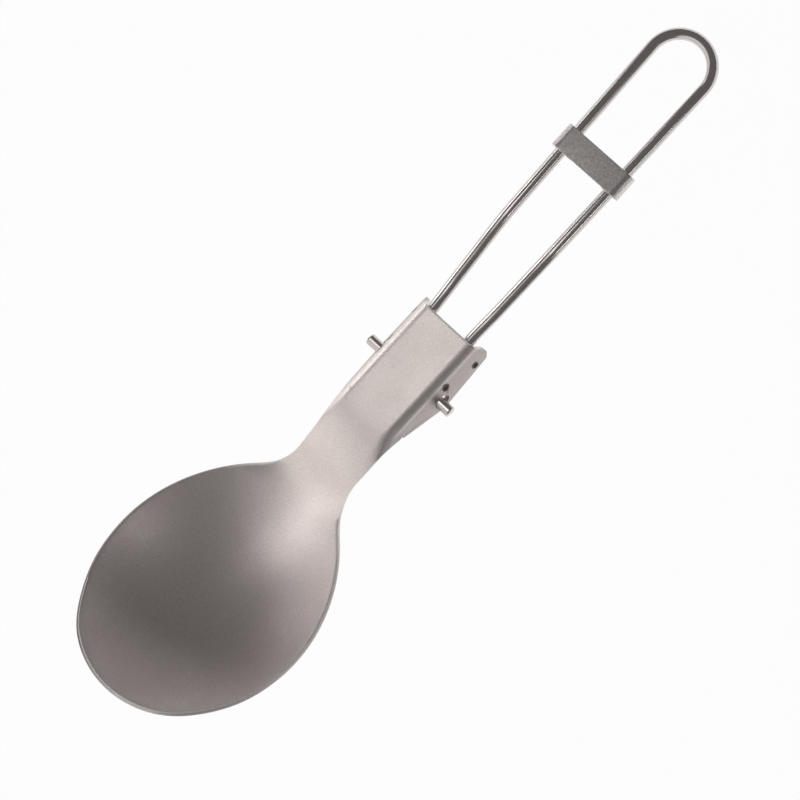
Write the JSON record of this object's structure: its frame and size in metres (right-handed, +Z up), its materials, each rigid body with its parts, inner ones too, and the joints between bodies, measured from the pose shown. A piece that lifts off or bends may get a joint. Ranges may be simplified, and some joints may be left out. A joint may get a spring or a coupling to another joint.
{
  "type": "folding spoon",
  "caption": "Pocket spoon with a deep egg-shaped bowl, a flanged channel at the neck, a bent wire loop handle that folds under the bowl, and a keeper band that slides along the wire.",
  "frame": {"origin": "on the ground, below the middle of the open spoon's bounding box", "axes": "+X along the spoon from the bowl's tip to the handle's loop, +Y across it to its left side, +Z up; the open spoon rests on its bowl and on the loop"},
  "size_m": [0.1632, 0.0434, 0.0234],
  "materials": {
    "blasted_titanium": "fine-blasted matt titanium sheet",
    "polished_wire": "polished titanium wire",
    "satin_band": "satin titanium strip"
  },
  "bodies": {
    "head": {"spoon_head": "blasted_titanium"},
    "handle": {"wire_handle": "polished_wire"},
    "keeper": {"sliding_keeper": "satin_band"}
  },
  "joints": [
    {"name": "handle_fold", "type": "hinge", "parent": "head", "child": "handle", "pos_m": [-0.00241, 0, 0.00241], "axis": [0, 1, 0], "range_deg": [0, 176]},
    {"name": "keeper_slide", "type": "slide", "parent": "handle", "child": "keeper", "axis": [0.9974, 0, -0.0715], "range_m": [-0.0135, 0.021]}
  ]
}
